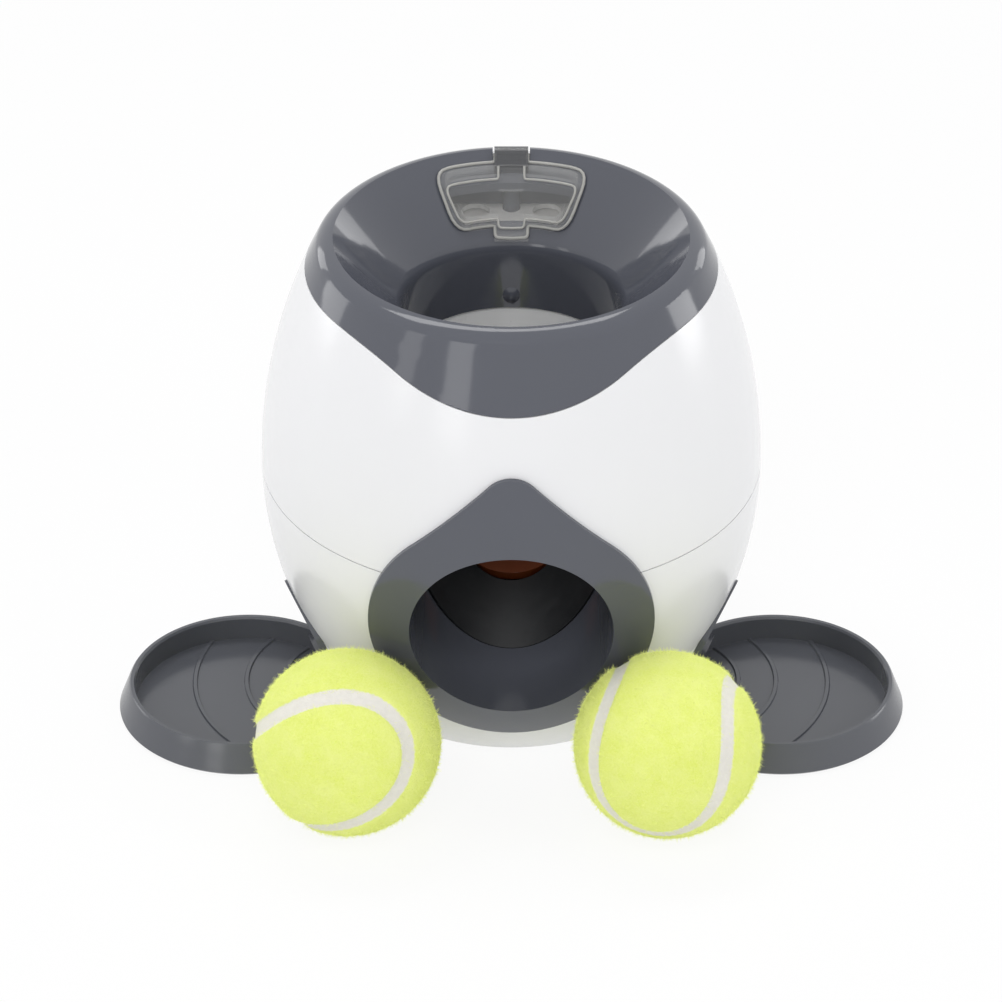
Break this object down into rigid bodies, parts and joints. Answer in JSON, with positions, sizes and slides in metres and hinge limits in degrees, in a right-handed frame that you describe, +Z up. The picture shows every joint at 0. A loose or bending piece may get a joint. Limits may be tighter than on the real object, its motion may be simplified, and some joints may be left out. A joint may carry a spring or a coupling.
{
  "type": "ball-fetch treat machine",
  "caption": "Egg-shaped treat machine: a ball dropped in the grey funnel trips a treadle, treats fall into side trays and the ball rolls out; tennis balls beside it",
  "frame": {"origin": "on the floor, under the middle of the body, at the centre of the base plate's flat underside", "axes": "+Z up along the body axis; -Y towards the ball exit; +X to the viewer's right when facing the exit"},
  "size_m": [0.28, 0.2218, 0.1769],
  "materials": {
    "white_plastic": "smooth white moulded plastic, soft gloss",
    "grey_plastic": "mid grey moulded plastic, clear gloss",
    "tray_plastic": "mid grey moulded plastic, satin gloss",
    "light_grey_plastic": "light grey moulded plastic, matt",
    "clear_plastic": "clear smoky plastic, polished",
    "orange_plastic": "orange moulded plastic",
    "steel": "plain steel",
    "black_rubber": "black rubber",
    "felt": "napped yellow-green wool felt with an off-white seam"
  },
  "bodies": {
    "housing": {"lower_shell": "white_plastic", "upper_shell": "white_plastic", "collar_funnel": "grey_plastic", "hopper_floor": "light_grey_plastic", "hopper_screws": "steel", "lid_pin": "steel", "front_frame": "grey_plastic", "left_outlet_frame": "grey_plastic", "right_outlet_frame": "grey_plastic", "ball_chamber": "white_plastic", "ball_ramp": "grey_plastic", "treat_slide": "white_plastic", "axle_cradle": "white_plastic", "cradle_screws": "steel", "lever_axle": "steel", "base_plate": "white_plastic", "foot_pads": "black_rubber", "base_screws": "steel"},
    "lid": {"treat_lid": "clear_plastic"},
    "lever": {"treadle": "orange_plastic", "gate_arm": "light_grey_plastic", "return_spring": "steel"},
    "left_tray_body": {"left_tray": "tray_plastic"},
    "right_tray_body": {"right_tray": "tray_plastic"},
    "left_ball": {"left_ball_core": "black_rubber", "left_ball_felt": "felt"},
    "right_ball": {"right_ball_core": "black_rubber", "right_ball_felt": "felt"}
  },
  "joints": [
    {"name": "lid_hinge", "type": "hinge", "parent": "housing", "child": "lid", "pos_m": [0, 0.06221, 0.17396], "axis": [-1, 0, 0], "range_deg": [0, 105]},
    {"name": "lever_hinge", "type": "hinge", "parent": "housing", "child": "lever", "pos_m": [0, 0.062, 0.032], "axis": [1, 0, 0], "range_deg": [0, 5], "stiffness_Nm_per_rad": 0.1, "springref_deg": -2.86},
    {"name": "left_tray_slide", "type": "slide", "parent": "housing", "child": "left_tray_body", "axis": [-0.9563, -0.2924, 0], "range_m": [0, 0.08]},
    {"name": "right_tray_slide", "type": "slide", "parent": "housing", "child": "right_tray_body", "axis": [0.9563, -0.2924, 0], "range_m": [0, 0.08]},
    {"name": "left_ball_roll", "type": "slide", "parent": "housing", "child": "left_ball", "axis": [0, -1, 0], "range_m": [0, 0.3]},
    {"name": "right_ball_roll", "type": "slide", "parent": "housing", "child": "right_ball", "axis": [0, -1, 0], "range_m": [0, 0.3]}
  ]
}
